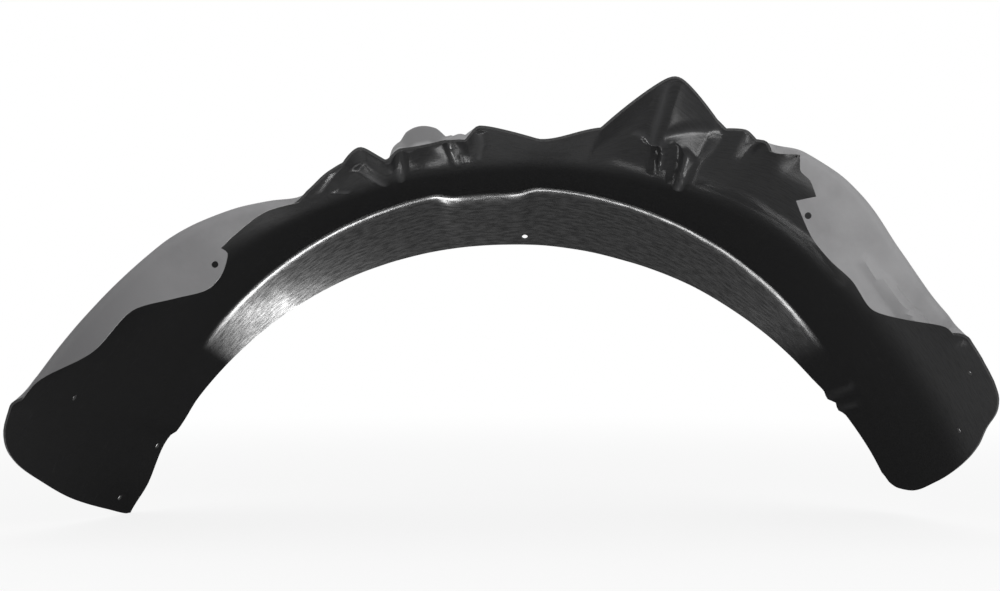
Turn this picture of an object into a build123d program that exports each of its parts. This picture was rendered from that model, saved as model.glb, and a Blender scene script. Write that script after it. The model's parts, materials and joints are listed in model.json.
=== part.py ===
import math
import os

from build123d import *

# Wheel arch liner, one vacuum formed sheet.
# Angles are degrees around the wheel axis, measured up from the right end over the crown to the left end.
# Radii run from the wheel axis to the face that looks at the wheel, and depth runs along that axis.
# Left and right are named as seen from the engine side, with the fender side at the far edge.

sheet = 2.0
lip_depth = 0.0
crease_depth = -35.0
tread_depth = -150.0
pleat_depth = -200.0
rim_depth = -250.0

crease_circle = 316.0
crease_rise = 70.0
crease_merge = 3.0
pad_drop = 6.0
pad_left = 98.5
pad_right = 88.3
pad_slope = 1.3

fold_bend = 11.0
pleat_bend = 22.0
tread_bend = 30.0
crease_bend = 11.0

screw_radius = 2.5
screw_reach = 30.0
lip_hole_angle = 88.2
lip_hole_inset = 7.0

# Edge of the fender side, (angle, radius).
lip_curve = [
    (166.0, 343.0),
    (150.0, 341.0),
    (147.0, 337.5),
    (140.0, 340.0),
    (42.0, 340.0),
    (36.0, 345.0),
    (25.0, 348.0),
    (18.0, 350.0),
]

# Edge of the engine side without its folds, (angle, radius).
rim_curve = [
    (166.0, 430.0),
    (148.0, 427.0),
    (139.0, 423.0),
    (128.0, 423.0),
    (120.0, 414.0),
    (113.0, 401.0),
    (95.5, 409.0),
    (87.3, 408.5),
    (81.5, 422.0),
    (70.0, 444.5),
    (62.5, 453.0),
    (55.5, 447.0),
    (49.0, 433.0),
    (42.5, 424.0),
    (32.0, 421.0),
    (18.0, 421.0),
]

# Folds pressed into that edge, (angle, height, spread to the left, spread to the right).
left_fold = (105.6, 16.0, 7.4, 2.2)
dome_fold = (99.4, 5.0, 3.8, 4.0)
sharp_fold = (93.3, 12.0, 1.9, 6.0)
horn_fold = (75.5, 38.5, 6.0, 5.5)
fold_crown = 0.18

# Middle of the tread where the folds have died out, (angle, radius).
tread_curve = [
    (166.0, 394.0),
    (128.0, 398.0),
    (108.0, 396.0),
    (87.0, 398.0),
    (70.0, 405.0),
    (61.0, 410.0),
    (49.0, 404.0),
    (40.0, 398.0),
    (18.0, 392.0),
]

# Height of the formed dome and of the pocket beside the horn over the plain tread, (angle, height).
swell_curve = [
    (104.0, 0.0),
    (99.5, 22.0),
    (95.6, 0.0),
    (79.5, 0.0),
    (75.5, -7.0),
    (72.0, 0.0),
    (66.0, 5.0),
    (55.0, 3.0),
    (44.0, 0.0),
]

# Length of the engine side flange as formed, before it is trimmed, (angle, length).
flange_curve = [
    (150.0, 6.0),
    (144.0, 26.0),
    (132.0, 54.0),
    (123.0, 54.0),
    (113.0, 6.0),
    (72.0, 6.0),
    (65.0, 36.0),
    (60.0, 58.0),
    (46.0, 52.0),
    (40.0, 20.0),
    (33.0, 6.0),
]

# Share of the way that the flange is turned in to stand square to the wheel axis, (angle, share).
turn_curve = [
    (152.0, 0.0),
    (145.0, 1.0),
    (119.0, 1.0),
    (112.0, 0.0),
    (72.0, 0.0),
    (65.0, 1.0),
    (41.0, 1.0),
    (33.0, 0.0),
]

# Trimmed free edge of the left flange, (angle, radius).
left_trim = [
    (111.0, 396.0),
    (116.5, 400.0),
    (121.3, 396.0),
    (123.4, 388.5),
    (125.0, 376.5),
    (127.2, 374.5),
    (130.5, 385.0),
    (134.0, 397.5),
    (140.5, 399.5),
    (146.5, 421.0),
    (151.0, 419.0),
]

# Trimmed free edge of the right flange below its notch, (angle, radius).
right_trim = [
    (60.5, 419.0),
    (57.3, 402.5),
    (54.4, 396.0),
    (51.1, 393.6),
    (47.2, 387.5),
    (44.2, 398.5),
    (40.3, 419.0),
    (36.0, 416.0),
]

# Trimmed edge above the notch, where the flange is cut away at its fold, (angle, radius).
notch_top = [
    (73.0, 440.0),
    (68.0, 443.0),
    (62.3, 449.0),
]
notch_side = (61.7, 441.0)
notch_round = (60.2, 436.5)
notch_corner = (59.0, 429.0)
trim_floor = 330.0
trim_back = 5.0
trim_front = 20.0

# Outlines of the two ends on planes that face out there, as offsets around the wheel and depths.
left_end_angle = 157.0
left_end_lip = -26.0
left_end_corner = -2.0
left_end_round = 80.0
right_end_angle = 26.0
right_end_lip = 7.0
right_end_toe = 26.0
right_end_toe_depth = -42.0
right_end_hip = -17.0
right_end_hip_depth = -195.0
right_end_corner = -44.0
right_end_round = 25.0
end_reach = 90.0
end_overrun = 15.0

# Screw holes through the sheet, (angle, depth).
left_panel_hole = (147.3, -170.0)
left_lip_hole = (150.7, -9.0)
left_foot_hole = (158.9, -30.0)
right_panel_hole = (28.8, -155.0)
right_edge_hole = (35.0, -222.0)

# Screw holes in the tabs of the two flanges, (angle, radius).
left_tab_hole = (124.5, 386.0)
right_tab_hole = (58.7, 414.0)

# Stiffening bead on the right flange, (angle, radius) of its two ends.
bead_top = (51.2, 410.0)
bead_foot = (44.6, 405.0)
bead_width = 12.0
bead_height = 3.0
bead_taper = 40.0

# Steps between the sections that form the sheet, coarse on plain stretches and fine over the folds.
plain_step = 4.5
fold_step = 1.15
fold_left = 112.0
fold_right = 68.0
start_angle = 166.0
stop_angle = 18.0


def along(curve, angle):
    """Height of a smooth curve through its points, with no overshoot between them."""
    points = sorted(curve)
    if angle <= points[0][0]:
        return points[0][1]
    if angle >= points[-1][0]:
        return points[-1][1]
    gaps = [b[0] - a[0] for a, b in zip(points, points[1:])]
    rises = [(b[1] - a[1]) / (b[0] - a[0]) for a, b in zip(points, points[1:])]
    slopes = [0.0]
    for k in range(1, len(points) - 1):
        slope = 0.0
        if rises[k - 1] * rises[k] > 0:
            before = 2 * gaps[k] + gaps[k - 1]
            after = gaps[k] + 2 * gaps[k - 1]
            slope = (before + after) / (before / rises[k - 1] + after / rises[k])
        slopes.append(slope)
    slopes.append(0.0)
    k = max(n for n in range(len(gaps)) if points[n][0] <= angle)
    t = (angle - points[k][0]) / gaps[k]
    rest = 1 - t
    low = points[k][1] * (1 + 2 * t) + gaps[k] * slopes[k] * t
    high = points[k + 1][1] * (1 + 2 * rest) - gaps[k] * slopes[k + 1] * rest
    return low * rest * rest + high * t * t


def step_up(value, edge, width):
    """Soft step from 0 to 1 across an edge."""
    return 0.5 + 0.5 * math.tanh((value - edge) / width)


def pressed(angle, fold):
    """Height of one fold, with straight flanks and a rounded crown."""
    centre, height, left, right = fold
    spread = left if angle > centre else right
    share = min(1.0, abs(angle - centre) / spread)
    flank = math.hypot(share, fold_crown) - fold_crown
    return height * (1 - flank / (math.hypot(1.0, fold_crown) - fold_crown))


def rim_radius(angle):
    """Radius of the engine side edge with all its folds."""
    folds = [left_fold, dome_fold, sharp_fold, horn_fold]
    return along(rim_curve, angle) + sum(pressed(angle, fold) for fold in folds)


def crease_radius(angle, tread, lip):
    """Radius of the corner between tread and fender wall, which fades into the flat end panels."""
    swing = math.radians(angle - 90)
    reach = crease_rise * math.cos(swing)
    arc = reach + math.sqrt(crease_circle**2 - (crease_rise * math.sin(swing)) ** 2)
    flat = lip + (tread - lip) * (crease_depth - lip_depth) / (tread_depth - lip_depth)
    over = math.log1p(math.exp((arc - flat) / crease_merge))
    pad = step_up(angle, pad_right, pad_slope) - step_up(angle, pad_left, pad_slope)
    return flat + crease_merge * over - pad_drop * pad


def section_corners(angle):
    """Corners of the face that looks at the wheel, from the flange edge to the fender lip."""
    lip = along(lip_curve, angle)
    rim = rim_radius(angle)
    tread = along(tread_curve, angle)
    length = along(flange_curve, angle)
    outward = math.atan2(rim_depth - tread_depth, rim - tread)
    heading = outward + along(turn_curve, angle) * (-math.pi - outward)
    fold = (rim - max(0.0, length * math.cos(heading)), rim_depth - length * math.sin(heading))
    edge = (fold[0] + length * math.cos(heading), rim_depth)
    share = (pleat_depth - tread_depth) / (fold[1] - tread_depth)
    pleat = tread + (fold[0] - tread) * share + along(swell_curve, angle)
    crease = crease_radius(angle, tread, lip)
    corners = [edge, fold, (pleat, pleat_depth), (tread, tread_depth)]
    return [Vector(*p) for p in corners + [(crease, crease_depth), (lip, lip_depth)]]


def outer_corners(corners):
    """Corners of the outer face, one sheet thickness away from the wheel."""
    normals = []
    for a, b in zip(corners, corners[1:]):
        way = (b - a).normalized()
        normals.append(Vector(way.Y, -way.X))
    moved = [corners[0] + normals[0] * sheet]
    for corner, a, b in zip(corners[1:-1], normals, normals[1:]):
        moved.append(corner + (a + b) * (sheet / (1 + a.dot(b))))
    moved.append(corners[-1] + normals[-1] * sheet)
    return moved


def bend_lengths(corners, outer):
    """Straight taken up by each bend, on the inner and on the outer face."""
    pairs = []
    wanted = [fold_bend, pleat_bend, tread_bend, crease_bend]
    for k, bend in enumerate(wanted, start=1):
        near = (corners[k] - corners[k - 1]).length
        far = (corners[k + 1] - corners[k]).length
        inner = min(bend, 0.4 * near, 0.4 * far)
        before = (corners[k] - corners[k - 1]).normalized()
        after = (corners[k + 1] - corners[k]).normalized()
        turn = before.cross(after).Z
        change = sheet * turn / (1 + before.dot(after))
        pairs.append((inner, inner + change))
    return pairs


def draw_face(corners, bends):
    """Straights and round bends from the first corner to the last."""
    start = corners[0]
    for k, bend in enumerate(bends, start=1):
        arrive = corners[k] + (corners[k - 1] - corners[k]).normalized() * bend
        leave = corners[k] + (corners[k + 1] - corners[k]).normalized() * bend
        Line(start, arrive)
        Bezier(arrive, corners[k], leave)
        start = leave
    Line(start, corners[-1])


def around(angle, radius):
    """Point around the wheel axis, seen along that axis."""
    turn = math.radians(angle)
    return (radius * math.cos(turn), radius * math.sin(turn))


def section_plane(angle):
    """Plane through the wheel axis, with radius along its x and depth along its y."""
    turn = math.radians(angle)
    out = (math.cos(turn), 0, math.sin(turn))
    back = (-math.sin(turn), 0, math.cos(turn))
    return Plane(origin=wheel, x_dir=out, z_dir=back)


def sheet_point(angle, depth):
    """Point and outward direction on the sheet, as (radius, depth) pairs in its section."""
    corners = section_corners(angle)
    for a, b in zip(corners[1:], corners[2:]):
        if depth <= b.Y:
            break
    spot = a + (b - a) * ((depth - a.Y) / (b.Y - a.Y))
    way = (b - a).normalized()
    return spot, Vector(way.Y, -way.X)


def hole_plane(angle, depth):
    """Plane that lies in the middle of the sheet, facing away from the wheel."""
    spot, out = sheet_point(angle, depth)
    middle = spot + out * (sheet / 2)
    section = section_plane(angle)
    normal = section.x_dir * out.X + section.y_dir * out.Y
    return Plane(origin=section.from_local_coords(middle), z_dir=normal)


# The origin is the screw hole in the fender lip at the crown, in the middle of the sheet.
wheel = Vector(0, 0, 0)
lip_corners = section_corners(lip_hole_angle)
wall = (lip_corners[-2] - lip_corners[-1]).normalized()
lip_hole_depth = lip_depth + wall.Y * lip_hole_inset
wheel = hole_plane(lip_hole_angle, lip_hole_depth).origin * -1

fold_count = round((fold_left - fold_right) / fold_step)
left_count = round((start_angle - fold_left) / plain_step)
right_count = round((fold_right - stop_angle) / plain_step)
stations = [start_angle + (fold_left - start_angle) * k / left_count for k in range(left_count)]
stations += [fold_left + (fold_right - fold_left) * k / fold_count for k in range(fold_count)]
stations += [fold_right + (stop_angle - fold_right) * k / right_count for k in range(right_count + 1)]


def rim_level(depth):
    """Plane square to the wheel axis that faces the engine side."""
    return Plane(origin=wheel + Vector(0, depth, 0), x_dir=(1, 0, 0), z_dir=(0, -1, 0))


def end_plane(angle):
    """Plane through the wheel axis that looks out at one end, with depth along its y."""
    turn = math.radians(angle)
    down = (math.sin(turn), 0, -math.cos(turn))
    return Plane(origin=wheel, x_dir=down, z_dir=(math.cos(turn), 0, math.sin(turn)))


with BuildPart() as arch_liner:
    # The sheet is formed over its sections from the left end to the right end.
    for angle in stations:
        with BuildSketch(section_plane(angle)):
            with BuildLine():
                inner = section_corners(angle)
                outer = outer_corners(inner)
                bends = bend_lengths(inner, outer)
                draw_face(inner, [b[0] for b in bends])
                draw_face(outer, [b[1] for b in bends])
                Line(inner[0], outer[0])
                Line(inner[-1], outer[-1])
            make_face()
    loft()

    # The left flange is trimmed to its wavy free edge with the screw tab.
    with BuildSketch(rim_level(rim_depth + trim_back)):
        with BuildLine():
            Spline(*[around(*p) for p in left_trim])
            Polyline(
                around(*left_trim[-1]),
                around(left_trim[-1][0], trim_floor),
                around(left_trim[0][0], trim_floor),
                around(*left_trim[0]),
            )
        make_face()
    extrude(amount=trim_back + trim_front, mode=Mode.SUBTRACT)

    # The right flange starts at a cut notch and runs down to the bead.
    with BuildSketch(rim_level(rim_depth + trim_back)):
        with BuildLine():
            Spline(*[around(*p) for p in notch_top])
            Line(around(*notch_top[-1]), around(*notch_side))
            ThreePointArc(around(*notch_side), around(*notch_round), around(*notch_corner))
            Line(around(*notch_corner), around(*right_trim[0]))
            Spline(*[around(*p) for p in right_trim])
            Polyline(
                around(*right_trim[-1]),
                around(right_trim[-1][0], trim_floor),
                around(notch_top[0][0], trim_floor),
                around(*notch_top[0]),
            )
        make_face()
    extrude(amount=trim_back + trim_front, mode=Mode.SUBTRACT)

    # The left end is cut straight and swings round to the engine side.
    with BuildSketch(end_plane(left_end_angle)) as left_end:
        with BuildLine():
            Polyline(
                (left_end_lip, lip_depth + end_overrun),
                (left_end_corner, rim_depth),
                (left_end_corner + left_end_round, rim_depth),
                (left_end_corner + left_end_round, rim_depth - end_overrun),
                (left_end_lip - end_reach, rim_depth - end_overrun),
                (left_end_lip - end_reach, lip_depth + end_overrun),
                close=True,
            )
        make_face()
        inside = left_end.vertices().sort_by_distance((left_end_corner, rim_depth))[0]
        fillet(inside, left_end_round)
    extrude(amount=2 * crease_circle, mode=Mode.SUBTRACT)

    # The right end is rounded at its toe and swings round to the engine side.
    with BuildSketch(end_plane(right_end_angle)) as right_end:
        with BuildLine():
            toe = (right_end_toe, right_end_toe_depth)
            heel = (right_end_lip, lip_depth + sheet)
            hip = (right_end_hip, right_end_hip_depth)
            TangentArc(toe, heel, tangent=(0, 1))
            TangentArc(toe, hip, tangent=(0, -1))
            Polyline(
                hip,
                (right_end_corner, rim_depth),
                (right_end_corner - right_end_round, rim_depth),
                (right_end_corner - right_end_round, rim_depth - end_overrun),
                (right_end_toe + end_reach, rim_depth - end_overrun),
                (right_end_toe + end_reach, lip_depth + end_overrun),
                (right_end_lip, lip_depth + end_overrun),
                heel,
            )
        make_face()
        inside = right_end.vertices().sort_by_distance((right_end_corner, rim_depth))[0]
        fillet(inside, right_end_round)
    extrude(amount=2 * crease_circle, mode=Mode.SUBTRACT)

    # The bead is pressed out of the right flange, with the sheet following it on the back.
    top = Vector(*around(*bead_top))
    foot = Vector(*around(*bead_foot))
    run = foot - top
    lean = math.degrees(math.atan2(run.Y, run.X))
    slope = math.radians(bead_taper)
    pocket_width = bead_width + 2 * sheet * (math.tan(slope) - 1 / math.cos(slope))
    with BuildSketch(rim_level(rim_depth - sheet)):
        with Locations((top + foot) / 2):
            SlotCenterToCenter(run.length, bead_width, rotation=lean)
    extrude(amount=bead_height, taper=bead_taper)
    with BuildSketch(rim_level(rim_depth)):
        with Locations((top + foot) / 2):
            SlotCenterToCenter(run.length, pocket_width, rotation=lean)
    extrude(amount=bead_height, taper=bead_taper, mode=Mode.SUBTRACT)

    # Screw holes are drilled square to the sheet.
    hole_spots = [(lip_hole_angle, lip_hole_depth), left_panel_hole, left_lip_hole, left_foot_hole]
    hole_spots += [right_panel_hole, right_edge_hole]
    for spot in hole_spots:
        with Locations(hole_plane(*spot)):
            Cylinder(screw_radius, screw_reach, mode=Mode.SUBTRACT)
    with Locations(rim_level(rim_depth - sheet / 2)):
        with Locations(around(*left_tab_hole), around(*right_tab_hole)):
            Cylinder(screw_radius, screw_reach, mode=Mode.SUBTRACT)

arch_liner.part.label = "arch_liner"

os.makedirs("parts", exist_ok=True)
export_step(arch_liner.part, "parts/arch_liner.step")
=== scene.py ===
import json
import math

import bmesh
import bpy
from mathutils import Matrix, Vector, noise


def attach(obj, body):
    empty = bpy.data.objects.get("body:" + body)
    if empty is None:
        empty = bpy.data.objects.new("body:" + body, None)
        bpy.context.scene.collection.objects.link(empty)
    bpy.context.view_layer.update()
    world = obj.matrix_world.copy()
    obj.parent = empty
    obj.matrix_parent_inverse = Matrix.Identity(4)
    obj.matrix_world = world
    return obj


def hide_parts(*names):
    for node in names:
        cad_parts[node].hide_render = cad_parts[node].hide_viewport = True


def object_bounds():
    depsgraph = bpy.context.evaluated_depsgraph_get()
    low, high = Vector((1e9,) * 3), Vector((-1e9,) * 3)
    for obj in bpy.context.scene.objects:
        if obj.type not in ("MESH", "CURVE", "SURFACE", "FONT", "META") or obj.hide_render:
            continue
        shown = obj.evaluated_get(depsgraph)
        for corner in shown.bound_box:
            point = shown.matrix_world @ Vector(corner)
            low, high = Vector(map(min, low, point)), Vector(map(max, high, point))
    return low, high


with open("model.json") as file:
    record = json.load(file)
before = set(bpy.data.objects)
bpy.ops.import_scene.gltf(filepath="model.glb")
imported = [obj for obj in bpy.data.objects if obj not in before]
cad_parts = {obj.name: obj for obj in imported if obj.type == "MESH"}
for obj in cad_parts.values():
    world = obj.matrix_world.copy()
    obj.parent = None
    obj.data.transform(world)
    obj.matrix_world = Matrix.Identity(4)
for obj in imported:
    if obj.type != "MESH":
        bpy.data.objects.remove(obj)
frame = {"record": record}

bl_info = {
    "name": "Wheel Arch Liner",
    "version": (1, 0, 0),
    "blender": (4, 5, 0),
    "location": "3D View > Sidebar > Arch Liner",
    "description": "Forms the vacuum formed wheel arch liner and its stage",
    "category": "Object",
}

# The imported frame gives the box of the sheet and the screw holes.
CAD_LOW, CAD_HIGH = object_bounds()
MOUNTS = {m["name"]: m for m in frame["record"]["mounts"]}
MM = 0.001

# Angles are degrees around the wheel axis, from the right end over the crown to the left end.
# Radii and depths are millimetres, depth along the wheel axis with the fender lip at nought.
CREASE_DEPTH = -35.0
TREAD_DEPTH = -150.0
PLEAT_DEPTH = -200.0
RIM_DEPTH = -250.0
# Anything deeper than this lies on a turned flange.
FLANGE_DEPTH = RIM_DEPTH + 1.0
# Screw hole in the left tab, (angle, radius, depth).
LEFT_TAB = (124.5, 386.0, -251.0)

# The crease is a circle about a point that stands above the wheel axis, and it merges into the
# end panels. The pad at the crown lowers it between two angles.
CREASE_CIRCLE = 316.0
CREASE_RISE = 70.0
CREASE_MERGE = 3.0
PAD_DROP = 4.5
PAD_LEFT = 98.5
PAD_RIGHT = 88.3
PAD_SLOPE = 1.2
PAD_BEND = 14.0


class SmoothCurve:
    """Curve through a few points that never overshoots between them."""

    def __init__(self, points):
        self.points = sorted(points)
        pairs = list(zip(self.points, self.points[1:]))
        self.gaps = [b[0] - a[0] for a, b in pairs]
        rises = [(b[1] - a[1]) / (b[0] - a[0]) for a, b in pairs]
        self.slopes = [0.0]
        for k in range(1, len(rises)):
            slope = 0.0
            if rises[k - 1] * rises[k] > 0:
                before = 2 * self.gaps[k] + self.gaps[k - 1]
                after = self.gaps[k] + 2 * self.gaps[k - 1]
                slope = (before + after) / (before / rises[k - 1] + after / rises[k])
            self.slopes.append(slope)
        self.slopes.append(0.0)

    def at(self, place):
        points = self.points
        if place <= points[0][0]:
            return points[0][1]
        if place >= points[-1][0]:
            return points[-1][1]
        k = 0
        while points[k + 1][0] < place:
            k += 1
        t = (place - points[k][0]) / self.gaps[k]
        rest = 1 - t
        low = points[k][1] * (1 + 2 * t) + self.gaps[k] * self.slopes[k] * t
        high = points[k + 1][1] * (1 + 2 * rest) - self.gaps[k] * self.slopes[k + 1] * rest
        return low * rest * rest + high * t * t


LIP = SmoothCurve([
    (166.0, 346.0), (160.9, 342.5), (156.0, 337.6), (150.0, 340.4), (148.6, 339.6), (147.6, 336.9),
    (146.0, 336.6), (142.0, 338.2), (120.0, 339.8), (92.0, 338.8), (80.0, 338.8), (60.0, 339.6),
    (42.0, 339.8), (36.0, 343.0), (25.0, 346.0), (18.0, 347.5),
])
RIM = SmoothCurve([
    (166.0, 428.0), (151.0, 427.3), (147.0, 421.8), (139.0, 420.5), (128.0, 421.0), (120.0, 413.0),
    (116.5, 406.0), (113.0, 399.0), (109.2, 408.0), (107.3, 410.5), (103.4, 404.5),
    (101.6, 411.5), (97.5, 412.0), (94.9, 409.5), (87.3, 408.5), (81.5, 421.0),
    (70.0, 441.0), (66.5, 445.0), (62.5, 453.5), (58.5, 452.5), (55.5, 448.5),
    (49.0, 433.0), (42.5, 424.5), (39.5, 424.0), (32.0, 420.5), (18.0, 420.5),
])
TREAD = SmoothCurve([
    (166.0, 394.0), (128.0, 398.0), (108.0, 396.0), (87.0, 398.0), (70.0, 405.0),
    (61.0, 410.0), (49.0, 404.0), (40.0, 398.0), (18.0, 392.0),
])
FLANGE_LENGTH = SmoothCurve([
    (151.0, 6.0), (148.0, 8.0), (144.0, 26.0), (132.0, 54.0), (123.0, 54.0), (114.0, 8.0),
    (66.0, 14.0), (61.0, 58.0), (46.0, 52.0), (41.0, 18.0), (38.5, 6.0),
])
FLANGE_TURN = SmoothCurve([
    (151.0, 0.0), (146.0, 1.0), (117.0, 1.0), (111.5, 0.0),
    (67.0, 0.0), (62.0, 1.0), (41.5, 1.0), (37.5, 0.0),
])

# Folds pressed into the engine side edge, (angle, height, spread left, spread right, roundness).
RIM_FOLDS = [
    (105.6, 9.5, 2.0, 2.0, 0.2),
    (93.5, 9.5, 1.4, 6.0, 0.15),
    (75.4, 37.0, 5.8, 5.8, 0.12),
    (67.8, 5.0, 3.0, 1.2, 0.2),
]
# The same folds and the dome where they run out into the tread.
PLEAT_FOLDS = [
    (106.2, 6.0, 3.2, 2.4, 0.2),
    (99.6, 26.0, 4.6, 4.8, 0.6),
    (93.3, 7.0, 1.6, 5.0, 0.2),
    (75.8, 20.0, 6.0, 5.0, 0.2),
    (63.0, 5.0, 7.0, 18.0, 0.6),
]

# Lines pressed over the folds, as points of (angle, depth), half width and height.
# A line that stands towards the wheel has a height below nought.
PRESSED_LINES = [
    ([(108.4, -249.0), (111.0, -221.0)], 6.0, -2.2),
    ([(106.7, -207.0), (105.6, -176.0), (104.6, -146.0)], 7.0, -3.4),
    ([(103.1, -250.0), (103.4, -178.0)], 5.0, -2.2),
    ([(109.9, -180.0), (108.8, -157.0)], 5.0, -1.6),
    ([(100.8, -250.0), (102.8, -140.0)], 6.0, -2.6),
    ([(98.1, -250.0), (96.2, -160.0)], 6.0, -3.0),
    ([(95.4, -250.0), (95.0, -172.0)], 12.0, 4.0),
    ([(93.4, -240.0), (93.3, -206.0), (93.8, -171.0)], 5.0, -2.2),
    ([(75.9, -245.0), (75.8, -215.0), (75.7, -188.0)], 7.0, -3.4),
    ([(77.6, -199.0), (75.0, -184.0)], 6.0, -2.2),
    ([(74.7, -184.0), (74.3, -195.0), (72.1, -222.0), (70.0, -245.0)], 6.0, -1.5),
    ([(75.1, -181.0), (74.6, -158.0)], 5.0, 5.0),
    ([(74.3, -180.0), (73.9, -160.0)], 4.0, -2.4),
    ([(73.0, -188.0), (72.3, -167.0), (71.9, -146.0)], 7.0, 4.0),
    ([(71.6, -194.0), (71.1, -135.0)], 7.0, -3.0),
    ([(68.6, -158.0), (65.3, -157.0), (61.4, -150.0), (55.6, -148.0), (50.6, -135.0)], 9.0, 0.8),
    ([(37.9, -42.0), (37.8, 0.0)], 7.0, -3.0),
    ([(35.4, -30.0), (35.6, 0.0)], 6.0, -2.6),
]
LINE_CROWN = 0.15
# Degrees beside a line that are searched, and how fast the painted highlight along a ridge fades
# beside it.
LINE_MARGIN = 3.0
RIDGE_HIGHLIGHT_FALL = 1.6

# Bends of a section: the largest share of a straight that a bend takes up, the bend of an edge
# without a flange, and the tread's bend on the right and left of the angles it changes between.
BEND_SHARE = 0.42
OPEN_EDGE_BEND = 2.0
TREAD_BEND_RIGHT = 6.0
TREAD_BEND_LEFT = 30.0
TREAD_BEND_ANGLES = (68.0, 76.0)

# Waves that forming leaves, (waves per metre, share of the height).
WAVES = ((18.0, 1.0), (45.0, 0.5))

# Cut ends, (depth, angle).
LEFT_END = SmoothCurve([
    (0.0, 161.3), (-40.0, 160.7), (-100.0, 159.5), (-150.0, 157.8), (-205.0, 155.5),
    (-235.0, 152.8), (-247.0, 149.3), (-250.0, 147.2),
])
RIGHT_END = SmoothCurve([
    (0.0, 24.8), (-5.0, 23.2), (-18.0, 22.2), (-40.0, 21.8), (-80.0, 22.7), (-120.0, 24.1),
    (-170.0, 26.6), (-195.0, 28.4), (-235.0, 31.0), (-248.0, 33.5), (-250.0, 36.0),
])
LEFT_END_FROM = 141.0
RIGHT_END_FROM = 45.0

# Trimmed free edges of the two flanges as smooth stretches between corners, (angle, radius).
LEFT_TRIM = [
    [(111.0, 393.0), (116.5, 400.0), (121.0, 396.5), (123.0, 393.6)],
    [
        (123.0, 393.6), (122.7, 387.5), (124.2, 378.5), (126.9, 374.5), (130.2, 384.0),
        (134.0, 397.5), (140.5, 399.5), (147.0, 420.5), (151.0, 422.0),
    ],
]
RIGHT_TRIM = [
    [(68.5, 437.5), (65.5, 441.5), (62.3, 450.0)],
    [(62.3, 450.0), (61.7, 441.0), (60.2, 436.5), (59.0, 429.0)],
    [(59.0, 429.0), (60.5, 419.0)],
    [
        (60.5, 419.0), (57.3, 402.5), (54.4, 396.0), (51.1, 393.6), (47.2, 387.5),
        (44.2, 398.5), (40.6, 417.5), (36.0, 412.0),
    ],
]
TRIM_STEP = 2.0
# How far the trimming blocks reach behind the rim, and in front of it.
LEFT_TRIM_BACK = 4.0
RIGHT_TRIM_BACK = 14.0
TRIM_FRONT = 20.0

DRILL_SIDES = 32
DRILL_LENGTH = 0.024
SHARP_ANGLE = 38.0
LEAST_FACES = 1000

# Radius, in metres, at which the map of the sheet is rolled out.
LAY_RADIUS = 0.37

# Stiffening bead on the right flange: ends as (angle, radius), sizes as (width, height).
BEAD_TOP = (51.4, 410.0)
BEAD_FOOT = (41.6, 401.6)
BEAD_TOP_SIZE = (9.0, 2.4)
BEAD_FOOT_SIZE = (15.0, 8.5)
BEAD_CROWN = 0.15
BEAD_FROM = 60.0

# Columns of the mesh, as (angle at the left, number of columns) down to the right end.
COLUMN_ZONES = [
    (160.0, 24), (141.0, 56), (112.5, 104), (90.0, 18), (82.0, 90), (60.0, 56), (45.0, 36),
]
LAST_COLUMN = 24.0
# Rows of the mesh from the flange edge to the fender lip.
FLANGE_ROWS = 16
FOLD_ROWS = 8
PLEAT_WALL_ROWS = 10
PLEAT_ROWS = 12
SHOULDER_ROWS = 14
TREAD_ROWS = 6
TREAD_WALL_ROWS = 16
CREASE_ROWS = 8
WALL_ROWS = 12
ROW_RUNS = [
    FLANGE_ROWS, FOLD_ROWS, PLEAT_WALL_ROWS, PLEAT_ROWS, SHOULDER_ROWS,
    TREAD_ROWS, TREAD_WALL_ROWS, CREASE_ROWS, WALL_ROWS,
]

# Material slots of the sheet, after the body side in the first one.
WHEEL_SIDE = 1
CUT_EDGE = 2

# Where the finishes change: angles in degrees, and metres from the crease, which are below nought
# on the tread.
WALL_EDGE = (-0.006, 0.001)
POLISH_RIGHT = (43.0, 53.0)
POLISH_LEFT = (136.0, 126.0)
# Reach of the crown that is painted paler, a painted sheen of the front lamps, and given more
# gloss: metres from the crease, and angles from the left.
CROWN_SHEEN_EDGE = (-0.08, -0.15)
CROWN_SHEEN_LEFT = (134.0, 116.0)
# Depth from which the body side turns paler on the flanges, a painted sheen where they face the
# front lamps.
FLANGE_SHEEN_EDGE = (-0.205, -0.2145)
# Stretch of the body side, from left to right in metres, over which it turns paler; the darker
# left is painted shade, away from the key lamp on the right.
SHADE_ACROSS = (-0.36, -0.16)
# Weight of the gloss on the fender wall, on the crown and on the fold ridges.
WALL_SHINE = 0.85
CROWN_SHINE = 0.07
FOLD_SHINE = 0.08
# Stretch of the noise textures along and across the sheet.
EVEN = (1.0, 1.0, 1.0)
SCUFF_SCALE = (14.0, 150.0, 1.0)
STREAK_SCALE = (40.0, 230.0, 1.0)
SAW_SCALE = (1.0, 0.25, 1.0)

# Soft lamps, as (name, place, aim, width, depth, watts).
LAMPS = [
    ("key_lamp", (1.1, -1.7, 0.9), (0.1, -0.15, -0.02), 1.2, 1.0, 16.0),
    ("fill_lamp", (-1.3, -1.6, 0.8), (-0.1, -0.15, -0.05), 1.2, 1.0, 9.0),
    ("top_lamp", (0.0, -0.4, 1.7), (0.0, -0.12, 0.0), 1.6, 1.2, 6.0),
]
# Lamps near the floor that look up and show in gloss alone, as (name, x, y, width, depth, watts).
LOW_LAMPS = [
    ("low_wall_lamp", -0.13, -0.012, 0.05, 0.05, 0.55),
    ("low_crease_lamp", -0.12, 0.07, 0.16, 0.06, 1.3),
    ("right_crease_lamp", 0.045, 0.09, 0.1, 0.05, 0.45),
]
LOW_LAMP_RISE = 0.006
FLOOR_HALF_SIZE = 6.0
# Shadows on the floor fade to white between these distances, from this share of white.
FLOOR_FADE = (0.4, 1.6)
FLOOR_WHITE = 0.85
# Camera from the wheel point, in millimetres.
CAMERA_SPOT = (-10.2, -1800.0, 295.4)


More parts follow.
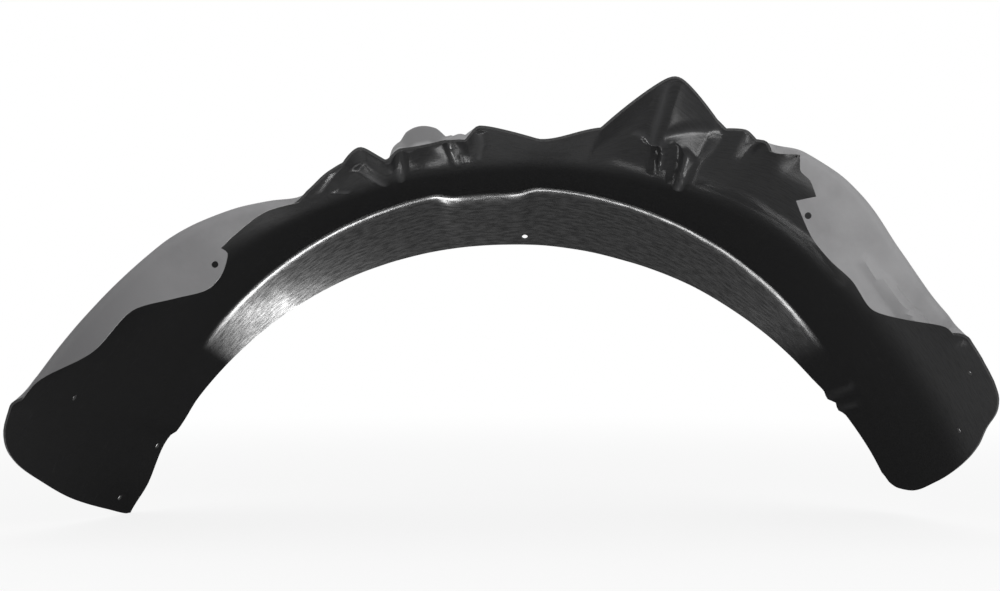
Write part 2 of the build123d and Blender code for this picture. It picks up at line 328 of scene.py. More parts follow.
class LinerSizes(bpy.types.PropertyGroup):
    """Sizes of the formed sheet that may be changed."""

    thickness: bpy.props.FloatProperty(
        name="Sheet Thickness",
        description="Thickness of the sheet after forming",
        default=0.002, min=0.001, max=0.004, unit="LENGTH",
    )
    fold_bend: bpy.props.FloatProperty(
        name="Flange Bend",
        description="Length of straight taken up by the bend at the foot of the flanges",
        default=0.007, min=0.002, max=0.012, unit="LENGTH",
    )
    pleat_bend: bpy.props.FloatProperty(
        name="Pleat Bend",
        description="Length of straight taken up by the bend where the pleats run out",
        default=0.014, min=0.004, max=0.02, unit="LENGTH",
    )
    crease_bend: bpy.props.FloatProperty(
        name="Crease Bend",
        description="Length of straight taken up by the bend between tread and fender wall",
        default=0.007, min=0.002, max=0.015, unit="LENGTH",
    )
    waviness: bpy.props.FloatProperty(
        name="Waviness",
        description="Height of the soft waves that forming leaves in the sheet",
        default=0.00035, min=0.0, max=0.002, unit="LENGTH",
    )


class LinerFinish(bpy.types.PropertyGroup):
    """Colours of the sheet that may be changed."""

    inner_colour: bpy.props.FloatVectorProperty(
        name="Wheel Side",
        description="Colour of the black face that looks at the wheel",
        default=(0.027, 0.027, 0.0275), min=0.0, max=1.0, subtype="COLOR",
    )
    # Painted sheen: the crown and its pleats are painted paler than the wheel side where the front
    # lamps fall on them.
    crown_sheen_colour: bpy.props.FloatVectorProperty(
        name="Crown",
        description="Colour of the dusty black over the crown and its pleats",
        default=(0.048, 0.048, 0.049), min=0.0, max=1.0, subtype="COLOR",
    )
    scuff_colour: bpy.props.FloatVectorProperty(
        name="Scuffs",
        description="Colour of the pale scuffs on the wheel side",
        default=(0.05, 0.05, 0.052), min=0.0, max=1.0, subtype="COLOR",
    )
    # Painted highlight: colour painted along the fold ridges that stand towards the wheel, in
    # place of the highlights they catch.
    fold_highlight_colour: bpy.props.FloatVectorProperty(
        name="Fold Lines",
        description="Colour of the stretched plastic along sharp folds",
        default=(0.07, 0.07, 0.072), min=0.0, max=1.0, subtype="COLOR",
    )
    # Partly painted sheen: the dull grey body side is painted paler on the flanges, where they
    # face the front lamps.
    outer_sheen_colour: bpy.props.FloatVectorProperty(
        name="Body Side",
        description="Colour of the dull grey face that looks at the body",
        default=(0.29, 0.288, 0.293), min=0.0, max=1.0, subtype="COLOR",
    )
    # Body side away from the flanges, with its soft stains, and the painted shade that darkens it
    # towards the left.
    outer_stain_and_shade: bpy.props.FloatVectorProperty(
        name="Body Side Stains",
        description="Colour of the darker patches on the body side",
        default=(0.11, 0.109, 0.112), min=0.0, max=1.0, subtype="COLOR",
    )
    edge_colour: bpy.props.FloatVectorProperty(
        name="Cut Edge",
        description="Colour of the trimmed edge of the sheet",
        default=(0.03, 0.03, 0.0305), min=0.0, max=1.0, subtype="COLOR",
    )


class LinerStage(bpy.types.PropertyGroup):
    """Floor, light and camera that may be changed."""

    floor_colour: bpy.props.FloatVectorProperty(
        name="Floor",
        description="Colour of the floor",
        default=(0.82, 0.82, 0.82), min=0.0, max=1.0, subtype="COLOR",
    )
    sky_level: bpy.props.FloatProperty(
        name="Room Light",
        description="Brightness of the light that comes from all round",
        default=0.4, min=0.0, max=2.0,
    )
    lens: bpy.props.FloatProperty(
        name="Lens",
        description="Focal length of the camera in millimetres",
        default=76.23, min=20.0, max=300.0,
    )


def wheel_point():
    """Point on the wheel axis at the fender lip, found from the left tab's screw hole."""
    angle, radius, depth = LEFT_TAB
    turn = math.radians(angle)
    hole = Vector(MOUNTS["left_tab_hole"]["pos_m"])
    return hole - Vector((radius * math.cos(turn), depth, radius * math.sin(turn))) * MM


WHEEL = wheel_point()


def place(angle, radius, depth):
    """Point in metres from its angle, radius and depth."""
    turn = math.radians(angle)
    return WHEEL + Vector((radius * math.cos(turn), depth, radius * math.sin(turn))) * MM


def blend(low, high, share):
    """Value at a share of the way from low to high."""
    return low + (high - low) * share


def soft_step(value, low, high):
    """Smooth step from 0 at low to 1 at high."""
    t = min(1.0, max(0.0, (value - low) / (high - low)))
    return t * t * (3 - 2 * t)


def tanh_step(value, edge, width):
    """Smooth step from 0 to 1 about an edge."""
    return 0.5 + 0.5 * math.tanh((value - edge) / width)


def pad_share(angle):
    """Share of the crown's pad at one angle, 1 on the pad and 0 beside it."""
    return tanh_step(angle, PAD_RIGHT, PAD_SLOPE) - tanh_step(angle, PAD_LEFT, PAD_SLOPE)


def flank(share, crown):
    """Fall from a rounded crown, 0 at the crown and 1 at the foot of the straight flank."""
    return (math.hypot(share, crown) - crown) / (math.hypot(1.0, crown) - crown)


def pressed(angle, folds):
    """Height of the folds at one angle, each with straight flanks and a rounded crown."""
    total = 0.0
    for centre, height, left, right, crown in folds:
        spread = left if angle > centre else right
        share = min(1.0, abs(angle - centre) / spread)
        total += height * (1 - flank(share, crown))
    return total


def crease_radius(angle, tread, lip):
    """Radius of the corner between tread and fender wall, which fades into the end panels."""
    swing = math.radians(angle - 90)
    arc = CREASE_RISE * math.cos(swing)
    arc += math.sqrt(CREASE_CIRCLE**2 - (CREASE_RISE * math.sin(swing)) ** 2)
    flat = lip + (tread - lip) * CREASE_DEPTH / TREAD_DEPTH
    over = math.log1p(math.exp((arc - flat) / CREASE_MERGE))
    return flat + CREASE_MERGE * over - PAD_DROP * pad_share(angle)


def section_corners(angle):
    """Corners of the wheel side face at one angle, as (radius, depth) from flange edge to lip."""
    lip = LIP.at(angle)
    plain = RIM.at(angle)
    tread = TREAD.at(angle)
    rim = plain + pressed(angle, RIM_FOLDS)
    pleat = (tread + plain) / 2 + pressed(angle, PLEAT_FOLDS)
    outward = math.atan2(RIM_DEPTH - PLEAT_DEPTH, rim - pleat)
    heading = outward + FLANGE_TURN.at(angle) * (-math.pi - outward)
    run = Vector((math.cos(heading), math.sin(heading))) * FLANGE_LENGTH.at(angle)
    fold = Vector((rim - max(0.0, run.x), RIM_DEPTH - run.y))
    crease = crease_radius(angle, tread, lip)
    return [
        fold + run,
        fold,
        Vector((pleat, PLEAT_DEPTH)),
        Vector((tread, TREAD_DEPTH)),
        Vector((crease, CREASE_DEPTH)),
        Vector((lip, 0.0)),
    ]


def section_path(angle, bends):
    """Straights and bends of one section, each as two or three control points."""
    corners = section_corners(angle)
    last = corners[0]
    runs = []
    for k in range(1, 5):
        corner = corners[k]
        before = corners[k - 1] - corner
        after = corners[k + 1] - corner
        length = min(bends[k - 1], BEND_SHARE * min(before.length, after.length))
        arrive = corner + before.normalized() * length
        leave = corner + after.normalized() * length
        runs += [(last, arrive), (arrive, corner, leave)]
        last = leave
    runs.append((last, corners[5]))
    return runs


def on_run(run, share):
    """Point at a share of the way along a straight or a bend."""
    if len(run) == 2:
        return run[0].lerp(run[1], share)
    return run[0].lerp(run[1], share).lerp(run[1].lerp(run[2], share), share)


def bead_height(x, z):
    """Height of the stiffening bead over the right flange, in millimetres."""
    top = Vector(BEAD_TOP_POINT)
    run = Vector(BEAD_FOOT_POINT) - top
    offset = Vector((x, z)) - top
    share = offset.dot(run) / run.length_squared
    across = abs(offset.cross(run)) / run.length
    if share < 0:
        across = math.hypot(across, share * run.length)
    reach = max(0.0, share)
    width = blend(BEAD_TOP_SIZE[0], BEAD_FOOT_SIZE[0], reach) / 2
    height = blend(BEAD_TOP_SIZE[1], BEAD_FOOT_SIZE[1], reach)
    slope = min(1.0, across / width)
    return height * (1 - flank(slope, BEAD_CROWN))


def flat_point(angle, radius):
    """Point across the wheel axis, in millimetres."""
    turn = math.radians(angle)
    return (radius * math.cos(turn), radius * math.sin(turn))


BEAD_TOP_POINT = flat_point(*BEAD_TOP)
BEAD_FOOT_POINT = flat_point(*BEAD_FOOT)


def bends_at(angle, sizes):
    """Lengths of the four bends of a section at one angle, in millimetres."""
    fold = blend(OPEN_EDGE_BEND, sizes.fold_bend / MM, FLANGE_TURN.at(angle))
    pleat = sizes.pleat_bend / MM
    tread = blend(TREAD_BEND_RIGHT, TREAD_BEND_LEFT, soft_step(angle, *TREAD_BEND_ANGLES))
    crease = blend(sizes.crease_bend / MM, PAD_BEND, pad_share(angle))
    return (fold, pleat, tread, crease)


def column_angles():
    """Angles of the mesh columns from left to right."""
    angles = []
    ends = [zone[0] for zone in COLUMN_ZONES[1:]] + [LAST_COLUMN]
    for (first, count), last in zip(COLUMN_ZONES, ends):
        angles += [blend(first, last, k / count) for k in range(count)]
    return angles + [LAST_COLUMN]


def row_shares():
    """Rows of the mesh, as (straight or bend of the section, share of the way along it)."""
    shares = []
    for run, count in enumerate(ROW_RUNS):
        shares += [(run, k / count) for k in range(count)]
    return shares + [(len(ROW_RUNS) - 1, 1.0)]


def end_angle(angle, depth):
    """Angle of a column at one depth, drawn out to the cut ends of the sheet."""
    first, last = COLUMN_ZONES[0][0], LAST_COLUMN
    if angle > LEFT_END_FROM:
        share = (angle - LEFT_END_FROM) / (first - LEFT_END_FROM)
        return blend(LEFT_END_FROM, LEFT_END.at(depth), share)
    if angle < RIGHT_END_FROM:
        share = (RIGHT_END_FROM - angle) / (RIGHT_END_FROM - last)
        return blend(RIGHT_END_FROM, RIGHT_END.at(depth), share)
    return angle


def sheet_point(angle, run, share, sizes):
    """Place of one vertex of the wheel side face, as angle, radius and depth."""
    spot = on_run(section_path(angle, bends_at(angle, sizes))[run], share)
    turned = end_angle(angle, spot.y)
    if turned != angle:
        spot = on_run(section_path(turned, bends_at(turned, sizes))[run], share)
    return turned, spot.x, spot.y


def line_heights(angle, radius, depth):
    """Height of the pressed lines at one place, and how near it lies to a ridge that stands
    towards the wheel, which sets the painted highlight there.
    """
    total = 0.0
    stretch = 0.0
    for points, width, height in PRESSED_LINES:
        reach = math.degrees(width / radius)
        margin = LINE_MARGIN + reach
        if not points[-1][0] - margin < angle < points[0][0] + margin:
            continue
        here = Vector((math.radians(angle) * radius, depth))
        flat = [Vector((math.radians(a) * radius, d)) for a, d in points]
        away = width
        for first, last in zip(flat, flat[1:]):
            run = last - first
            share = min(1.0, max(0.0, (here - first).dot(run) / run.length_squared))
            away = min(away, (here - first - run * share).length)
        total += height * (1 - flank(away / width, LINE_CROWN))
        # Ridges that stand towards the wheel carry a painted highlight that fades beside them.
        if height < 0:
            stretch = max(stretch, 1 - RIDGE_HIGHLIGHT_FALL * away / width)
    return total, stretch


def lay_around(angle):
    """Place of an angle on the map that is laid along the sheet, in metres."""
    return math.radians(angle) * LAY_RADIUS


def form_sheet(sizes):
    """Wheel side face as a fine grid, laid over the sections, with a map laid along it."""
    angles = column_angles()
    rows = row_shares()
    columns = len(angles) - 1
    row_count = len(rows) - 1
    bm = bmesh.new()
    bmesh.ops.create_grid(bm, x_segments=columns, y_segments=row_count, size=1.0)
    lay = bm.loops.layers.uv.new("sheet_lay")
    fold_lay = bm.loops.layers.uv.new("fold_lay")
    spots = {}
    stretches = {}
    for vert in bm.verts:
        column = round((vert.co.x + 1) / 2 * columns)
        row = round((vert.co.y + 1) / 2 * row_count)
        run, share = rows[row]
        spots[vert] = sheet_point(angles[column], run, share, sizes)
    for vert, (angle, radius, depth) in spots.items():
        point = place(angle, radius, depth)
        wave = sum(share * noise.noise(point * size) for size, share in WAVES)
        swell = wave * sizes.waviness
        turn = math.radians(angle)
        out = Vector((math.cos(turn), 0.0, math.sin(turn)))
        if depth < FLANGE_DEPTH:
            flat = point - WHEEL
            lift = bead_height(flat.x / MM, flat.z / MM) if angle < BEAD_FROM else 0.0
            point.y -= lift * MM + swell
        else:
            # stretch is the share of painted highlight along the fold ridges, carried to the fold
            # map.
            rise, stretch = line_heights(angle, radius, depth)
            point += out * (swell + rise * MM)
            stretches[vert] = stretch
        vert.co = point
    for face in bm.faces:
        face.smooth = True
        for loop in face.loops:
            angle, radius, depth = spots[loop.vert]
            crease = crease_radius(angle, TREAD.at(angle), LIP.at(angle))
            down = math.hypot(radius - crease, depth - CREASE_DEPTH)
            side = 1.0 if depth > CREASE_DEPTH else -1.0
            loop[lay].uv = (lay_around(angle), side * down * MM)
            loop[fold_lay].uv = (stretches.get(loop.vert, 0.0), 0.0)
    return bm


def trim_outline(stretches):
    """Points along the trimmed free edge of a flange, and back across the open side."""
    outline = []
    for stretch in stretches:
        flat = [Vector(flat_point(*p)) for p in stretch]
        way = [0.0]
        for a, b in zip(flat, flat[1:]):
            way.append(way[-1] + (b - a).length)
        across = SmoothCurve([(w, p.x) for w, p in zip(way, flat)])
        upward = SmoothCurve([(w, p.y) for w, p in zip(way, flat)])
        count = max(2, round(way[-1] / TRIM_STEP))
        steps = [way[-1] * k / count for k in range(count)]
        outline += [Vector((across.at(w), upward.at(w))) for w in steps]
    first, last = stretches[0][0], stretches[-1][-1]
    outline.append(Vector(flat_point(*last)))
    outline.append(Vector(flat_point(last[0], CREASE_CIRCLE)))
    outline.append(Vector(flat_point(first[0], CREASE_CIRCLE)))
    return outline


def add_trim(bm, stretches, reach):
    """Block that trims a flange to its free edge and reaches some way behind the rim."""
    outline = trim_outline(stretches)
    made = bmesh.ops.create_circle(bm, cap_ends=True, segments=len(outline), radius=1.0)
    verts = sorted(made["verts"], key=lambda v: math.atan2(v.co.y, v.co.x))
    back = (RIM_DEPTH + reach) * MM
    for vert, spot in zip(verts, outline):
        vert.co = WHEEL + Vector((spot.x * MM, back, spot.y * MM))
    faces = list({f for v in verts for f in v.link_faces})
    raised = bmesh.ops.extrude_face_region(bm, geom=faces, use_keep_orig=True)
    tops = [g for g in raised["geom"] if isinstance(g, bmesh.types.BMVert)]
    bmesh.ops.translate(bm, verts=tops, vec=(0.0, -(reach + TRIM_FRONT) * MM, 0.0))


def add_drill(bm, mount):
    """Round bar that drills one screw hole."""
    axis = Vector(mount["axis"])
    turn = axis.to_track_quat("Z", "Y").to_matrix().to_4x4()
    radius = mount["dims"]["r_mm"] * MM
    bmesh.ops.create_cone(
        bm, cap_ends=True, segments=DRILL_SIDES, radius1=radius, radius2=radius,
        depth=DRILL_LENGTH,
        matrix=Matrix.Translation(Vector(mount["pos_m"])) @ turn,
    )


def add_object(name, bm):
    """Object in the scene from a finished bmesh."""
    mesh = bpy.data.meshes.new(name)
    bm.to_mesh(mesh)
    bm.free()
    piece = bpy.data.objects.new(name, mesh)
    bpy.context.scene.collection.objects.link(piece)
    return piece


def new_material(name):
    """Material with its node tree and its shader."""
    material = bpy.data.materials.new(name)
    material.use_nodes = True
    tree = material.node_tree
    shader = tree.nodes["Principled BSDF"]
    return material, tree, shader


def add_node(tree, kind, **values):
    """Node with the named values set on its inputs or on itself."""
    node = tree.nodes.new(kind)
    for name, value in values.items():
        socket = node.inputs.get(name.replace("_", " "))
        if socket is None:
            setattr(node, name, value)
        else:
            socket.default_value = value
    return node


def mapped_noise(tree, source, scale, size, detail=4.0, roughness=0.55):
    """Noise over a coordinate that is first stretched."""
    mapping = add_node(tree, "ShaderNodeMapping")
    mapping.inputs["Scale"].default_value = scale
    tree.links.new(source, mapping.inputs["Vector"])
    made = add_node(tree, "ShaderNodeTexNoise", Scale=size, Detail=detail, Roughness=roughness)
    tree.links.new(mapping.outputs["Vector"], made.inputs["Vector"])
    return made.outputs["Fac"]


def ranged(tree, source, low, high, to_low=0.0, to_high=1.0):
    """Value spread from one range over another, held at its ends."""
    node = add_node(tree, "ShaderNodeMapRange", interpolation_type="SMOOTHSTEP")
    values = {"From Min": low, "From Max": high, "To Min": to_low, "To Max": to_high}
    for name, value in values.items():
        node.inputs[name].default_value = value
    tree.links.new(source, node.inputs["Value"])
    return node.outputs["Result"]


def ranged_angle(tree, around, angles):
    """Share that goes from 0 to 1 between two angles on the map laid along the sheet."""
    return ranged(tree, around, *(lay_around(angle) for angle in angles))


def joined(tree, operation, first, second):
    """Two values, or a value and a number, put together."""
    node = add_node(tree, "ShaderNodeMath", operation=operation)
    for socket, value in zip(node.inputs, (first, second)):
        if isinstance(value, (int, float)):
            socket.default_value = value
        else:
            tree.links.new(value, socket)
    return node.outputs["Value"]


def mixed_colour(tree, share, first, second):
    """Two colours, given as sockets or values, mixed by a share."""
    node = add_node(tree, "ShaderNodeMix", data_type="RGBA")
    tree.links.new(share, node.inputs["Factor"])
    for name, value in (("A", first), ("B", second)):
        socket = [s for s in node.inputs if s.name == name and s.type == "RGBA"][0]
        if isinstance(value, bpy.types.NodeSocket):
            tree.links.new(value, socket)
        else:
            socket.default_value = (*value, 1.0)
    return [s for s in node.outputs if s.type == "RGBA"][0]


def sheet_wear_group():
    """Scuffs, clouds and grain of the formed sheet, shared by its two sides."""
    group = bpy.data.node_groups.new("sheet_wear", "ShaderNodeTree")
    group.interface.new_socket("Lay", in_out="INPUT", socket_type="NodeSocketVector")
    group.interface.new_socket("Place", in_out="INPUT", socket_type="NodeSocketVector")
    group.interface.new_socket("Scuffs", in_out="OUTPUT", socket_type="NodeSocketFloat")
    group.interface.new_socket("Clouds", in_out="OUTPUT", socket_type="NodeSocketFloat")
    group.interface.new_socket("Grain", in_out="OUTPUT", socket_type="NodeSocketFloat")
    entry = group.nodes.new("NodeGroupInput")
    leave = group.nodes.new("NodeGroupOutput")
    lay = entry.outputs["Lay"]
    spot = entry.outputs["Place"]
    fine = mapped_noise(group, lay, SCUFF_SCALE, 6.0, 5.0, 0.65)
    patch = mapped_noise(group, spot, EVEN, 16.0, 3.0)
    streaks = ranged(group, fine, 0.56, 0.74)
    where = ranged(group, patch, 0.48, 0.68)
    scuffs = joined(group, "MULTIPLY", streaks, where)
    group.links.new(scuffs, leave.inputs["Scuffs"])
    clouds = mapped_noise(group, spot, EVEN, 9.0, 5.0, 0.6)
    group.links.new(clouds, leave.inputs["Clouds"])
    peel = mapped_noise(group, spot, EVEN, 420.0, 2.0)
    dents = mapped_noise(group, spot, EVEN, 110.0, 2.0)
    grain = joined(group, "ADD", peel, dents)
    group.links.new(grain, leave.inputs["Grain"])
    return group


def place_wear(tree, group):
    """The shared wear in a material, with the two coordinates it is laid on."""
    node = tree.nodes.new("ShaderNodeGroup")
    node.node_tree = group
    lay = add_node(tree, "ShaderNodeUVMap", uv_map="sheet_lay")
    spot = add_node(tree, "ShaderNodeTexCoord")
    tree.links.new(lay.outputs["UV"], node.inputs["Lay"])
    tree.links.new(spot.outputs["Object"], node.inputs["Place"])
    return node, lay.outputs["UV"], spot.outputs["Object"]


def add_bump(tree, shader, height, distance, strength):
    """Fine relief on a shader's normal."""
    bump = add_node(tree, "ShaderNodeBump", Strength=strength, Distance=distance)
    tree.links.new(height, bump.inputs["Height"])
    tree.links.new(bump.outputs["Normal"], shader.inputs["Normal"])


def wheel_side_material(finish, group):
    """Black face with fine peel and scuffs, dull on the tread and polished on the fender wall."""
    material, tree, shader = new_material("black_wheel_side")
    wear, lay, _ = place_wear(tree, group)
    split = add_node(tree, "ShaderNodeSeparateXYZ")
    tree.links.new(lay, split.inputs["Vector"])
    around, down = split.outputs["X"], split.outputs["Y"]
    wall = ranged(tree, down, *WALL_EDGE)
    wall = joined(tree, "MULTIPLY", wall, ranged_angle(tree, around, POLISH_RIGHT))
    wall = joined(tree, "MULTIPLY", wall, ranged_angle(tree, around, POLISH_LEFT))
    streak = mapped_noise(tree, lay, STREAK_SCALE, 2.4, 4.0, 0.62)
    polish = joined(tree, "MULTIPLY", wall, ranged(tree, streak, 0.32, 0.68, 0.35, 1.0))
    # The crown is painted paler, a painted sheen of the front lamps, and it also gets more gloss.
    pleats = ranged(tree, down, *CROWN_SHEEN_EDGE)
    crown = joined(tree, "MULTIPLY", pleats, ranged_angle(tree, around, CROWN_SHEEN_LEFT))
    crown = joined(tree, "MULTIPLY", crown, ranged(tree, streak, 0.3, 0.6, 0.6, 1.0))
    folds = add_node(tree, "ShaderNodeUVMap", uv_map="fold_lay")
    stretch = add_node(tree, "ShaderNodeSeparateXYZ")
    tree.links.new(folds.outputs["UV"], stretch.inputs["Vector"])
    # Painted highlight: the fold ridges are painted paler, varied by the clouds, and they also get
    # more gloss.
    ridge_highlight = ranged(tree, wear.outputs["Clouds"], 0.35, 0.6, 0.3, 1.0)
    ridge_highlight = joined(tree, "MULTIPLY", stretch.outputs["X"], ridge_highlight)
    colour = mixed_colour(tree, crown, tuple(finish.inner_colour), tuple(finish.crown_sheen_colour))
    colour = mixed_colour(tree, wear.outputs["Scuffs"], colour, tuple(finish.scuff_colour))
    colour = mixed_colour(tree, ridge_highlight, colour, tuple(finish.fold_highlight_colour))
    tree.links.new(colour, shader.inputs["Base Color"])
    rough = ranged(tree, wear.outputs["Clouds"], 0.3, 0.7, 0.5, 0.62)
    tree.links.new(rough, shader.inputs["Roughness"])
    shader.inputs["Specular IOR Level"].default_value = 0.0
    shader.inputs["Coat Roughness"].default_value = 0.22
    sheened = ranged(tree, crown, 0.0, 1.0, 0.0, CROWN_SHINE)
    dull = joined(tree, "ADD", sheened, joined(tree, "MULTIPLY", ridge_highlight, FOLD_SHINE))
    shine = joined(tree, "MAXIMUM", dull, joined(tree, "MULTIPLY", polish, WALL_SHINE))
    tree.links.new(shine, shader.inputs["Coat Weight"])
    height = joined(tree, "ADD", wear.outputs["Grain"], joined(tree, "MULTIPLY", streak, 2.0))
    add_bump(tree, shader, height, 0.00025, 0.45)
    return material


def body_side_material(finish, group):
    """Dull grey face with soft stains, painted darker to the left as shade and paler on the
    flanges as sheen.
    """
    material, tree, shader = new_material("grey_body_side")
    wear, lay, spot = place_wear(tree, group)
    split = add_node(tree, "ShaderNodeSeparateXYZ")
    tree.links.new(spot, split.inputs["Vector"])
    stain_shade_and_sheen = ranged(tree, wear.outputs["Clouds"], 0.35, 0.65, 0.55, 1.0)
    # Painted shade: the body side turns darker towards the left, away from the key lamp.
    stain_shade_and_sheen = joined(tree, "MULTIPLY", stain_shade_and_sheen, ranged(tree, split.outputs["X"], *SHADE_ACROSS))
    rolled = add_node(tree, "ShaderNodeSeparateXYZ")
    tree.links.new(lay, rolled.inputs["Vector"])
    # Painted sheen: the flanges are painted paler than the rest of the body side.
    stain_shade_and_sheen = joined(tree, "MULTIPLY", stain_shade_and_sheen, ranged(tree, rolled.outputs["Y"], *FLANGE_SHEEN_EDGE))
    colour = mixed_colour(tree, stain_shade_and_sheen, tuple(finish.outer_stain_and_shade), tuple(finish.outer_sheen_colour))
    tree.links.new(colour, shader.inputs["Base Color"])
    rough = ranged(tree, wear.outputs["Clouds"], 0.3, 0.7, 0.52, 0.66)
    tree.links.new(rough, shader.inputs["Roughness"])
    shader.inputs["Specular IOR Level"].default_value = 0.4
    add_bump(tree, shader, wear.outputs["Grain"], 0.0002, 0.35)
    return material


def cut_edge_material(finish):
    """Trimmed edge with fine saw marks."""
    material, tree, shader = new_material("trimmed_edge")
    spot = add_node(tree, "ShaderNodeTexCoord")
    marks = mapped_noise(tree, spot.outputs["Object"], SAW_SCALE, 900.0, 2.0)
    dark = tuple(0.5 * c for c in finish.edge_colour)
    colour = mixed_colour(tree, ranged(tree, marks, 0.35, 0.65), dark, tuple(finish.edge_colour))
    tree.links.new(colour, shader.inputs["Base Color"])
    shader.inputs["Roughness"].default_value = 0.6
    shader.inputs["Specular IOR Level"].default_value = 0.4
    add_bump(tree, shader, marks, 0.0002, 0.4)
    return material


class LINER_OT_form_sheet(bpy.types.Operator):
    """Form the liner from one sheet, trim its flanges and drill its screw holes"""

    bl_idname = "liner.form_sheet"
    bl_label = "Form Liner Sheet"
    bl_options = {"REGISTER", "UNDO"}

    def execute(self, context):
        sizes = context.scene.liner_sizes
        finish = context.scene.liner_finish
        liner = add_object("liner_sheet", form_sheet(sizes))
        group = sheet_wear_group()
        liner.data.materials.append(body_side_material(finish, group))
        liner.data.materials.append(wheel_side_material(finish, group))
        liner.data.materials.append(cut_edge_material(finish))

        bm = bmesh.new()
        add_trim(bm, LEFT_TRIM, LEFT_TRIM_BACK)
        add_trim(bm, RIGHT_TRIM, RIGHT_TRIM_BACK)
        for mount in MOUNTS.values():
            add_drill(bm, mount)
        bmesh.ops.recalc_face_normals(bm, faces=bm.faces[:])
        for face in bm.faces:
            face.material_index = CUT_EDGE
        cutter = add_object("trim_tools", bm)
        for material in liner.data.materials:
            cutter.data.materials.append(material)

        shell = liner.modifiers.new("thickness", "SOLIDIFY")
        shell.thickness = sizes.thickness
        shell.offset = 1.0
        shell.use_quality_normals = True
        shell.material_offset = WHEEL_SIDE
        shell.material_offset_rim = CUT_EDGE
        cut = liner.modifiers.new("trim", "BOOLEAN")
        cut.operation = "DIFFERENCE"
        cut.solver = "MANIFOLD"
        cut.object = cutter

        graph = context.evaluated_depsgraph_get()
        formed = bpy.data.meshes.new_from_object(liner.evaluated_get(graph))
        liner.modifiers.clear()
        liner.data = formed
        formed.set_sharp_from_angle(angle=math.radians(SHARP_ANGLE))
        bpy.data.objects.remove(cutter)
        if len(formed.polygons) < LEAST_FACES:
            raise RuntimeError("the trimmed sheet came out empty")

        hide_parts("arch_liner")
        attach(liner, "root")
        return {"FINISHED"}


def add_lamp(name, spot, aim, width, depth, power, gloss_only=False):
    """Soft rectangular lamp turned to a point, which may show in gloss alone."""
    data = bpy.data.lights.new(name, "AREA")
    data.shape = "RECTANGLE"
    data.size = width
    data.size_y = depth
    data.energy = power
    lamp = bpy.data.objects.new(name, data)
    lamp.location = spot
    lamp.rotation_mode = "QUATERNION"
    lamp.rotation_quaternion = (Vector(aim) - Vector(spot)).to_track_quat("-Z", "Y")
    lamp.visible_camera = False
    lamp.visible_diffuse = not gloss_only
    bpy.context.scene.collection.objects.link(lamp)


def white_for_looks(tree):
    """Share that is 1 for rays that show the background and 0 for rays that light the object."""
    path = add_node(tree, "ShaderNodeLightPath")
    share = joined(tree, "MAXIMUM", path.outputs["Is Camera Ray"], path.outputs["Is Glossy Ray"])
    return joined(tree, "MAXIMUM", share, path.outputs["Is Transmission Ray"])


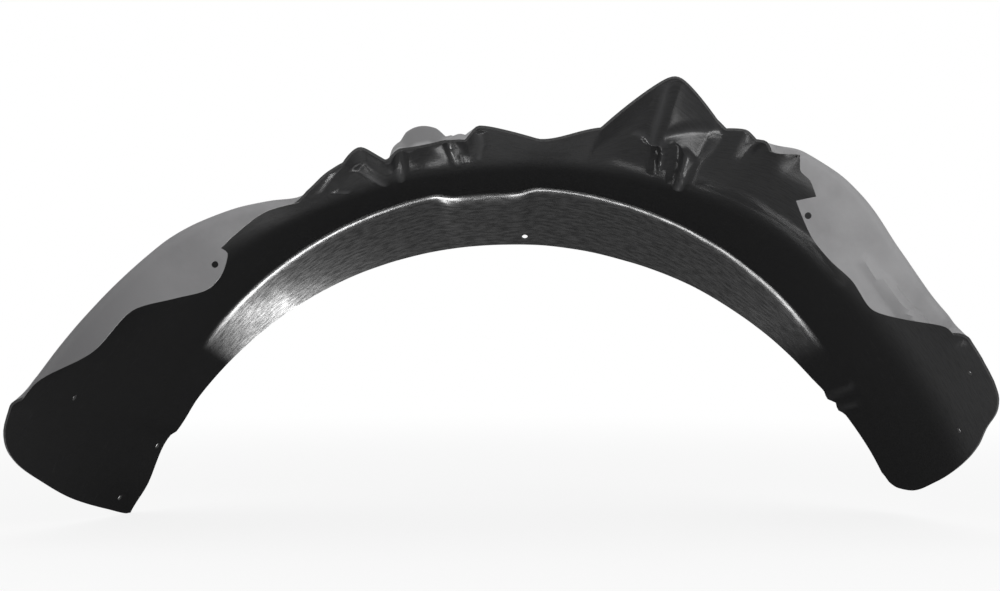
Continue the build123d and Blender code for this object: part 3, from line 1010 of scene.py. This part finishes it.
class LINER_OT_set_stage(bpy.types.Operator):
    """Set up the floor, the soft lamps, the white room and the camera"""

    bl_idname = "liner.set_stage"
    bl_label = "Set Stage"
    bl_options = {"REGISTER", "UNDO"}

    def execute(self, context):
        scene = context.scene
        stage = scene.liner_stage
        scene.view_settings.view_transform = "Standard"

        world = bpy.data.worlds.new("white_room")
        world.use_nodes = True
        tree = world.node_tree
        back = tree.nodes["Background"]
        back.inputs["Color"].default_value = (1.0, 1.0, 1.0, 1.0)
        level = ranged(tree, white_for_looks(tree), 0.0, 1.0, stage.sky_level, 1.0)
        tree.links.new(level, back.inputs["Strength"])
        scene.world = world

        bm = bmesh.new()
        bmesh.ops.create_grid(bm, x_segments=8, y_segments=8, size=FLOOR_HALF_SIZE)
        bmesh.ops.translate(bm, verts=bm.verts[:], vec=(0.0, 0.0, CAD_LOW.z))
        floor = add_object("floor", bm)
        material, tree, shader = new_material("pale_floor")
        shader.inputs["Base Color"].default_value = (*stage.floor_colour, 1.0)
        shader.inputs["Roughness"].default_value = 0.9
        shader.inputs["Specular IOR Level"].default_value = 0.0
        glow = add_node(tree, "ShaderNodeEmission", Color=(1.0, 1.0, 1.0, 1.0), Strength=1.0)
        mix = tree.nodes.new("ShaderNodeMixShader")
        spot = add_node(tree, "ShaderNodeTexCoord")
        far = add_node(tree, "ShaderNodeVectorMath", operation="LENGTH")
        tree.links.new(spot.outputs["Object"], far.inputs[0])
        clean = ranged(tree, far.outputs["Value"], *FLOOR_FADE, FLOOR_WHITE, 1.0)
        share = joined(tree, "MULTIPLY", white_for_looks(tree), clean)
        tree.links.new(share, mix.inputs["Fac"])
        tree.links.new(shader.outputs["BSDF"], mix.inputs[1])
        tree.links.new(glow.outputs["Emission"], mix.inputs[2])
        out = tree.nodes["Material Output"]
        tree.links.new(mix.outputs["Shader"], out.inputs["Surface"])
        floor.data.materials.append(material)

        for lamp in LAMPS:
            add_lamp(*lamp)
        low = CAD_LOW.z + LOW_LAMP_RISE
        for name, x, y, width, depth, power in LOW_LAMPS:
            add_lamp(name, (x, y, low), (x, y, 1.0), width, depth, power, gloss_only=True)

        data = bpy.data.cameras.new("camera")
        data.lens = stage.lens
        data.sensor_width = 36.0
        data.clip_start = 0.05
        data.clip_end = 50.0
        camera = bpy.data.objects.new("camera", data)
        camera.location = WHEEL + Vector(CAMERA_SPOT) * MM
        camera.rotation_euler = (math.radians(90.0), 0.0, 0.0)
        scene.collection.objects.link(camera)
        scene.camera = camera
        return {"FINISHED"}


class LINER_PT_panel(bpy.types.Panel):
    """Sizes, colours and steps of the liner"""

    bl_idname = "LINER_PT_panel"
    bl_label = "Arch Liner"
    bl_space_type = "VIEW_3D"
    bl_region_type = "UI"
    bl_category = "Arch Liner"

    def draw(self, context):
        layout = self.layout
        scene = context.scene
        for group in (scene.liner_sizes, scene.liner_finish, scene.liner_stage):
            box = layout.box()
            for name in group.__annotations__:
                box.prop(group, name)
        layout.operator(LINER_OT_form_sheet.bl_idname)
        layout.operator(LINER_OT_set_stage.bl_idname)


CLASSES = (
    LinerSizes, LinerFinish, LinerStage,
    LINER_OT_form_sheet, LINER_OT_set_stage, LINER_PT_panel,
)


def register():
    for made in CLASSES:
        bpy.utils.register_class(made)
    bpy.types.Scene.liner_sizes = bpy.props.PointerProperty(type=LinerSizes)
    bpy.types.Scene.liner_finish = bpy.props.PointerProperty(type=LinerFinish)
    bpy.types.Scene.liner_stage = bpy.props.PointerProperty(type=LinerStage)


def unregister():
    del bpy.types.Scene.liner_stage
    del bpy.types.Scene.liner_finish
    del bpy.types.Scene.liner_sizes
    for made in reversed(CLASSES):
        bpy.utils.unregister_class(made)


def main():
    register()
    bpy.ops.liner.form_sheet()
    bpy.ops.liner.set_stage()


if __name__ == "__main__":
    main()
